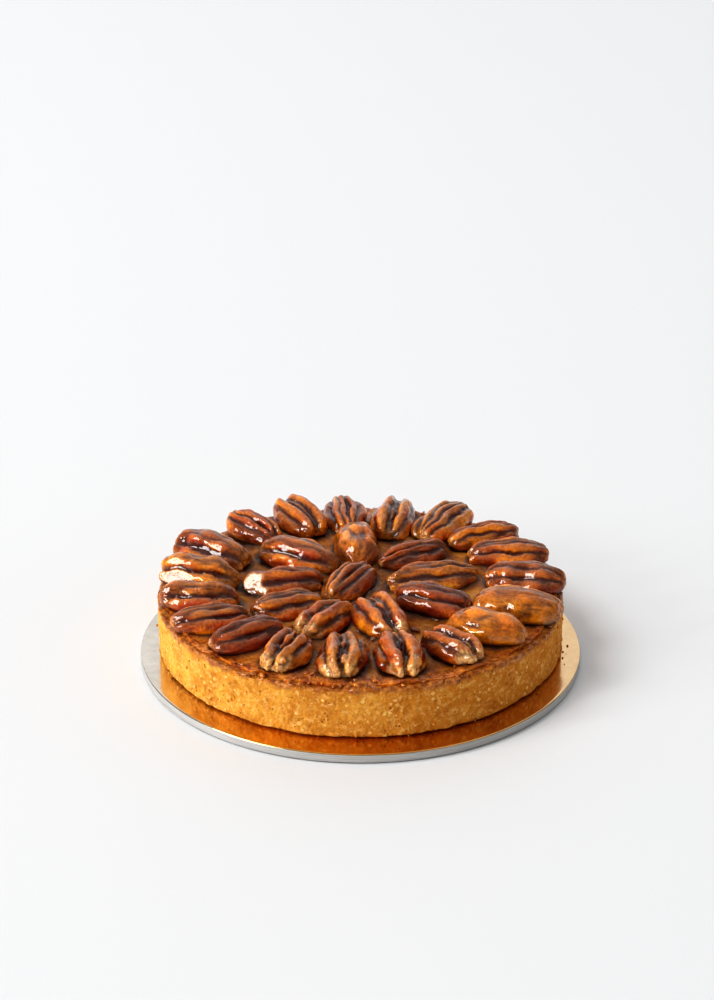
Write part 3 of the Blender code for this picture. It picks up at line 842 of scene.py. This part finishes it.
def laid_down(points, row):
    """Turns and moves points from a nut's own frame to where it lies on the tart."""
    angle, turn, distance, _, _, _, tipped = row[:7]
    tip, yaw, angle = math.radians(tipped), math.radians(angle + turn), math.radians(angle)
    x = points[..., 0] * math.cos(tip) - points[..., 2] * math.sin(tip)
    z = points[..., 0] * math.sin(tip) + points[..., 2] * math.cos(tip)
    y = points[..., 1]
    tip_drop = math.sin(tip) * 0.42 * NUT_LENGTH
    return np.stack(
        [
            0.001 * distance * math.cos(angle) + x * math.cos(yaw) - y * math.sin(yaw),
            0.001 * distance * math.sin(angle) + x * math.sin(yaw) + y * math.cos(yaw) + TART_OFFSET,
            z + RIM_LEVEL - NUT_SINK + tip_drop,
        ],
        axis=-1,
    )


syruped = finish_of(
    "syruped_pecan",
    Roughness=0.45,
    Specular_IOR_Level=0.1,
    Subsurface_Weight=0.12,
    Subsurface_Radius=(1.0, 0.32, 0.10),
    Subsurface_Scale=0.003,
    Coat_Weight=1.0,
    Coat_Roughness=0.02,
    Coat_IOR=1.62,
)
# The nuts' colour attribute holds their skin tones with painted sheen and painted shade on them.
skin_and_painted_light = add_node(syruped, "ShaderNodeAttribute", attribute_name="skin").outputs["Color"]
nut_mottle = noise_texture(syruped, 650.0, 4.0, 0.65)
nut_mottle = ramp(syruped, nut_mottle, ((0.32, 0.72), (0.52, 1.0), (0.70, 1.20)))
feed(syruped, "Base Color", mixed(syruped, 1.0, skin_and_painted_light, nut_mottle, "MULTIPLY"))
feed(syruped, "Normal", bumped(syruped, noise_texture(syruped, 750.0, 4.0, 0.6), 1.0, 0.0007))
feed(syruped, "Coat Normal", bumped(syruped, noise_texture(syruped, 330.0, 2.0, 0.45), 0.5, 0.0005))

nut_rows = [(f"outer_pecan_{k:02d}", row, 100 + k) for k, row in enumerate(OUTER_NUTS, 1)]
nut_rows += [(f"inner_pecan_{k:02d}", row, 200 + k) for k, row in enumerate(INNER_NUTS, 1)]
nut_rows.append(("middle_pecan", MIDDLE_NUT, 300))
for node, row, seed in nut_rows:
    grid, colours = pecan_half(row, seed)
    skins_and_painted_light = np.vstack([colours.reshape(-1, 3), colours[0].mean(axis=0), colours[-1].mean(axis=0)])
    laid = laid_down(grid, row)
    name = node + "_syruped"
    nut_mesh = grid_mesh(name, laid, laid[0].mean(axis=0), laid[-1].mean(axis=0), {"skin": skins_and_painted_light})
    place_piece(name, nut_mesh, syruped, "pecan", node)

# The filling
# Caramel custard baked level with the rim under a layer of syrup. The syrup climbs the foot of every
# nut and bridges the narrow gaps, and the custard has baked darker and bubbled towards the rim.
FILLING_RADIUS = 0.0881
FILLING_STEPS = 720
FILLING_RINGS = 128
FILM_REACH = 0.0006  # how far the syrup runs over the inner side of the rim
FILM_THICKNESS = 0.0003
FILM_SWAY = 0.0009
SWELL_HEIGHT, RIPPLE_HEIGHT = 0.0004, 0.00016
FILLING_SINK = 0.0004  # how far the custard lies under the rim
RIM_CLIMB = 0.0006  # how much it rises again towards the rim
FILLET_HEIGHT, FILLET_REACH = 0.0014, 0.0012
BRIDGE_HEIGHT, BRIDGE_REACH = 0.0020, 0.0045
SHADE_REACH = 0.0013  # how far from a nut the syrup darkens
BUBBLE_HEIGHT = 0.0009
FOOTPRINT_POWER = 2.5
BAKED_TONES = ((0.30, (0.27, 0.075, 0.006)), (0.50, (0.54, 0.190, 0.018)), (0.70, (0.80, 0.37, 0.055)))
EDGE_TONES = ((0.36, (0.20, 0.032, 0.003)), (0.48, (0.56, 0.140, 0.008)), (0.64, (0.90, 0.36, 0.040)))
SHADED = (0.045, 0.010, 0.002)


def outside_nut(x, y, row):
    """Distance in metres outside a nut's footprint, less than zero inside.

    It is a superellipse's share over 1, times the nut's half width."""
    angle, turn, distance, length, width = row[:5]
    yaw, angle = math.radians(angle + turn), math.radians(angle)
    half_long, half_wide = 0.5 * NUT_LENGTH * length, 0.5 * NUT_WIDTH * width
    east = x - 0.001 * distance * math.cos(angle)
    north = y - 0.001 * distance * math.sin(angle) - TART_OFFSET
    along = np.abs(east * math.cos(yaw) + north * math.sin(yaw)) / half_long
    across = np.abs(-east * math.sin(yaw) + north * math.cos(yaw)) / half_wide
    share = (along**FOOTPRINT_POWER + across**FOOTPRINT_POWER) ** (1 / FOOTPRINT_POWER)
    return (share - 1) * half_wide


film_radius = FILLING_RADIUS + FILM_REACH
filling_rows = [(0.06, SHELL_FLOOR), (FILLING_RADIUS - 0.0006, SHELL_FLOOR), (FILLING_RADIUS, 0.006)]
filling_rows += [(FILLING_RADIUS, SHELL_HEIGHT - 0.0016), (film_radius, SHELL_HEIGHT - 0.0010)]
under_rows = len(filling_rows)
filling_rows += [
    (film_radius + 0.10 * FILM_REACH * math.sin(a), SHELL_HEIGHT - FILM_THICKNESS * (1 - math.sin(a)))
    for a in (0.0, 0.5, 1.0)
]
top_radii = film_radius * (1 - np.linspace(0, 1, FILLING_RINGS + 1)[:-1] ** 1.15)
filling_rows += [(radius, SHELL_HEIGHT) for radius in top_radii]
filling_turn = np.tile(np.arange(FILLING_STEPS) * 2 * math.pi / FILLING_STEPS, len(filling_rows))
filling_out = np.stack([np.cos(filling_turn), np.sin(filling_turn), 0 * filling_turn], axis=-1)
filling_points = turned_grid(filling_rows, FILLING_STEPS).reshape(-1, 3)
film = faded(np.hypot(filling_points[:, 0], filling_points[:, 1]), FILLING_RADIUS, FILM_REACH)
film = film * FILM_SWAY * closed_wave(filling_turn, 91, (5, 9, 14, 23, 37, 61))
filling_points += film[:, None] * filling_out + np.array([0, TART_OFFSET, SHELL_BOTTOM])

gaps = np.stack([outside_nut(filling_points[:, 0], filling_points[:, 1], row) for _, row, _ in nut_rows])
nearest, second = np.sort(gaps, axis=0)[:2].clip(0, 1)
syrup_left = np.clip(0.75 + 0.9 * layered_noise(filling_points, 0.007, 83, 2), 0.1, 1.15)
fillet = FILLET_HEIGHT * syrup_left * np.exp(-nearest / FILLET_REACH)
bridge = BRIDGE_HEIGHT * syrup_left * np.exp(-(((nearest + second) / BRIDGE_REACH) ** 2))
from_middle = np.hypot(filling_points[:, 0], filling_points[:, 1] - TART_OFFSET)
near_rim = faded(from_middle, 0.080, 0.008)
on_film = faded(from_middle, FILLING_RADIUS - 0.0012, 0.0015)
swell = SWELL_HEIGHT * layered_noise(filling_points, 0.016, 61, 2)
swell += RIPPLE_HEIGHT * layered_noise(filling_points, 0.0035, 67, 2)
bubbles = BUBBLE_HEIGHT * near_rim * np.clip(layered_noise(filling_points, 0.0028, 71, 2), -0.4, 1)
raised = (swell + bubbles) * (1 - 0.6 * on_film) + fillet + bridge - FILLING_SINK + RIM_CLIMB * near_rim**3
raised[: under_rows * FILLING_STEPS] = 0
filling_points[:, 2] += raised
filling_mesh = grid_mesh(
    "baked_filling",
    filling_points.reshape(len(filling_rows), FILLING_STEPS, 3),
    (0, TART_OFFSET, SHELL_BOTTOM + SHELL_FLOOR),
    (0, TART_OFFSET, RIM_LEVEL - FILLING_SINK),
    {
        "shade": np.concatenate([np.exp(-nearest / SHADE_REACH) * (1 - 0.5 * near_rim), [0, 0]]),
        "edge": np.concatenate([faded(from_middle, 0.074, 0.013), [0, 0]]),
    },
)

custard = finish_of(
    "glazed_custard",
    Roughness=0.4,
    Specular_IOR_Level=0.3,
    Subsurface_Weight=0.15,
    Subsurface_Scale=0.002,
    Coat_Roughness=0.05,
)
edge_share = add_node(custard, "ShaderNodeAttribute", attribute_name="edge").outputs["Fac"]
nut_shade = add_node(custard, "ShaderNodeAttribute", attribute_name="shade").outputs["Fac"]
baked = ramp(custard, noise_texture(custard, 130.0, 4.0, 0.6), BAKED_TONES)
baked = mixed(custard, edge_share, baked, ramp(custard, noise_texture(custard, 330.0, 5.0, 0.75), EDGE_TONES))
baked = mixed(custard, ramp(custard, nut_shade, ((0.15, 0.0), (0.90, 0.92))), baked, SHADED)
feed(custard, "Base Color", baked)
syrup_patches = noise_texture(custard, 120.0, 3.0, 0.6)
feed(custard, "Coat Weight", ramp(custard, syrup_patches, ((0.40, 0.30), (0.54, 1.0))))
feed(custard, "Normal", bumped(custard, noise_texture(custard, 600.0, 4.0), 0.8, 0.0008))
feed(custard, "Coat Normal", bumped(custard, noise_texture(custard, 340.0, 4.0), 0.95, 0.0016))
place_piece("baked_filling", filling_mesh, custard, "filling", "filling")

# The nut chips
# Chips that broke off the nuts lie stuck in the syrup, with finer nut crumbs near the broken ends. They
# are small closed lumps of true size, with syrup over them as on the nuts.
BIT_ROWS, BIT_AROUND = 6, 9
CHIPS = (  # angle in degrees, distance, half sizes and height over the filling in millimetres, tone
    (-82.5, 48.4, 2.4, 1.3, 1.2, 1.2, (0.42, 0.22, 0.14)),
    (-41.0, 44.8, 0.9, 0.7, 0.6, 0.5, (0.80, 0.62, 0.44)),
    (57.5, 87.0, 2.6, 1.5, 1.3, 1.0, (0.52, 0.26, 0.12)),
    (62.0, 88.5, 1.4, 1.0, 0.9, 0.8, (0.46, 0.18, 0.06)),
    (-121.0, 62.0, 2.0, 1.2, 1.0, 0.6, (0.40, 0.13, 0.04)),
    (-58.0, 46.0, 2.2, 1.5, 1.0, 0.6, (0.36, 0.12, 0.03)),
    (10.0, 55.5, 1.8, 1.4, 1.0, 0.7, (0.50, 0.26, 0.13)),
    (118.0, 56.0, 1.6, 1.2, 0.9, 0.6, (0.44, 0.17, 0.06)),
)
NUT_CRUMBS = 70
NUT_CRUMB_TONE = np.array((0.50, 0.22, 0.08))


def lump_mesh(name, centres, sizes, rough, seed, attributes):
    """One mesh of many closed lumps: unit spheres swelled and dented by noise, times three half sizes each.

    attributes maps a name to one value, or one colour, for each lump."""
    down = np.linspace(0, math.pi, BIT_ROWS + 2)[1:-1, None] + np.zeros((1, BIT_AROUND))
    about = np.arange(BIT_AROUND)[None, :] * 2 * math.pi / BIT_AROUND
    ball = np.stack([np.sin(down) * np.cos(about), np.sin(down) * np.sin(about), np.cos(down)], axis=-1)
    ball = np.vstack([ball.reshape(-1, 3), [(0, 0, 1), (0, 0, -1)]])
    index = np.arange(BIT_ROWS * BIT_AROUND).reshape(BIT_ROWS, BIT_AROUND)
    after = np.roll(index, -1, axis=1)
    quads = np.stack([index[:-1], index[1:], after[1:], after[:-1]], axis=-1).reshape(-1, 4)
    top = np.stack([np.full(BIT_AROUND, len(ball) - 2), index[0], after[0]], axis=-1)
    foot = np.stack([np.full(BIT_AROUND, len(ball) - 1), after[-1], index[-1]], axis=-1)
    faces = np.vstack([quads[:, [0, 1, 2]], quads[:, [0, 2, 3]], top, foot])
    count = len(centres)
    turns = np.random.default_rng(seed).uniform(0, 2 * math.pi, count)[:, None]
    unit = np.tile(ball, (count, 1)) + np.repeat(np.arange(count), len(ball))[:, None] * 3.7
    swelled = (1 + rough * layered_noise(unit, 0.9, seed, 2)).reshape(count, -1, 1)
    lumps = ball[None] * swelled * np.asarray(sizes)[:, None, :]
    east = lumps[..., 0] * np.cos(turns) - lumps[..., 1] * np.sin(turns)
    north = lumps[..., 0] * np.sin(turns) + lumps[..., 1] * np.cos(turns)
    points = np.stack([east, north, lumps[..., 2]], axis=-1) + np.asarray(centres)[:, None, :]
    loops = (faces[None] + np.arange(count)[:, None, None] * len(ball)).reshape(-1)
    values = {key: np.repeat(np.asarray(each), len(ball), axis=0) for key, each in attributes.items()}
    return raw_mesh(name, points.reshape(-1, 3), loops, np.full(len(loops) // 3, 3), values)


def on_tart(angles, radii, heights):
    """Points at those angles in degrees, distances from the tart's middle and heights, in metres."""
    angles, radii, heights = np.broadcast_arrays(np.radians(angles), radii, heights)
    return np.stack([radii * np.cos(angles), TART_OFFSET + radii * np.sin(angles), heights], axis=-1)


chip_rows = np.array([chip[:6] for chip in CHIPS])
chip_places = on_tart(chip_rows[:, 0], 0.001 * chip_rows[:, 1], RIM_LEVEL + 0.001 * chip_rows[:, 5])
crumb_random = np.random.default_rng(401)
crumb_angles = crumb_random.normal(-88, 24, NUT_CRUMBS)
crumb_radii = crumb_random.uniform(0.046, 0.090, NUT_CRUMBS)
crumb_sizes = crumb_random.uniform(0.00018, 0.00055, NUT_CRUMBS)[:, None]
crumb_sizes = crumb_sizes * crumb_random.uniform(0.7, 1.3, (NUT_CRUMBS, 3))
crumb_tones = NUT_CRUMB_TONE * crumb_random.uniform(0.4, 1.5, NUT_CRUMBS)[:, None]
chip_mesh = lump_mesh(
    "nut_chips",
    np.vstack([chip_places, on_tart(crumb_angles, crumb_radii, RIM_LEVEL + 0.0001)]),
    np.vstack([0.001 * chip_rows[:, 2:5], crumb_sizes]),
    0.55,
    411,
    {"skin": np.vstack([[chip[6] for chip in CHIPS], crumb_tones])},
)
place_piece("nut_chips", chip_mesh, syruped, "pecan")

# The syrup beads
# Beads of syrup and custard that bubbled up by the rim and set there, flattened by their own weight,
# most of them at the front. They have the gloss of the syrup on the nuts.
SYRUP_BEADS = 150
BEAD_TONE = np.array((0.62, 0.200, 0.018))

bead_random = np.random.default_rng(431)
bead_angles = bead_random.normal(-95, 26, SYRUP_BEADS * 2 // 3)
bead_angles = np.concatenate([bead_angles, bead_random.uniform(0, 360, SYRUP_BEADS // 3)])
bead_radii = 0.0905 - 0.010 * bead_random.random(SYRUP_BEADS) ** 1.6
bead_sizes = 0.0003 + 0.0010 * bead_random.random(SYRUP_BEADS) ** 2.0
bead_long = bead_sizes * bead_random.uniform(0.8, 1.7, SYRUP_BEADS)
bead_wide = bead_sizes * bead_random.uniform(0.7, 1.2, SYRUP_BEADS)
bead_tones = BEAD_TONE * bead_random.uniform(0.45, 1.3, SYRUP_BEADS)[:, None]
bead_mesh = lump_mesh(
    "syrup_beads",
    on_tart(bead_angles, bead_radii, RIM_LEVEL + 0.0001),
    np.stack([bead_long, bead_wide, 0.75 * bead_sizes], axis=-1),
    0.30,
    441,
    {"skin": bead_tones},
)
place_piece("syrup_beads", bead_mesh, syruped, "filling")

# The pastry crumbs
# Crumbs of pastry that cling to the browned rim and to the wall of the shell, and a few that have dropped
# on the card. Those on the rim and the card are more toasted than those on the wall.
RIM_CRUMBS, WALL_CRUMBS, CARD_CRUMBS = 420, 620, 22

rim_angles = crumb_random.uniform(0, 360, RIM_CRUMBS)
wall_angles = crumb_random.uniform(0, 360, WALL_CRUMBS)
card_angles = crumb_random.normal(-20, 40, CARD_CRUMBS // 2)
card_angles = np.concatenate([card_angles, crumb_random.uniform(0, 360, CARD_CRUMBS - CARD_CRUMBS // 2)])
rim_radii = crumb_random.uniform(0.0892, 0.0918, RIM_CRUMBS)
wall_heights = SHELL_BOTTOM + crumb_random.beta(0.9, 0.7, WALL_CRUMBS) * (SHELL_HEIGHT - 0.0008)
card_radii = crumb_random.uniform(0.0925, 0.0955, CARD_CRUMBS)
crumb_places = [
    on_tart(rim_angles, rim_radii, RIM_LEVEL - 0.0009),
    on_tart(wall_angles, 0.0917, wall_heights),
    on_tart(card_angles, card_radii, CARD_THICKNESS + 0.0001),
]
crumb_total = RIM_CRUMBS + WALL_CRUMBS + CARD_CRUMBS
crumb_sizes = 0.00016 + 0.00042 * crumb_random.random(crumb_total)[:, None] ** 2.5
crumb_sizes = crumb_sizes * crumb_random.uniform(0.75, 1.25, (crumb_total, 3))
crumb_toast = [
    crumb_random.uniform(0.1, 0.9, RIM_CRUMBS),
    crumb_random.uniform(0.0, 0.15, WALL_CRUMBS),
    crumb_random.uniform(0.2, 1.0, CARD_CRUMBS),
]
crumb_mesh = lump_mesh(
    "pastry_crumbs", np.vstack(crumb_places), crumb_sizes, 0.5, 421, {"browned": np.concatenate(crumb_toast)}
)
place_piece("pastry_crumbs", crumb_mesh, pastry, "pastry")
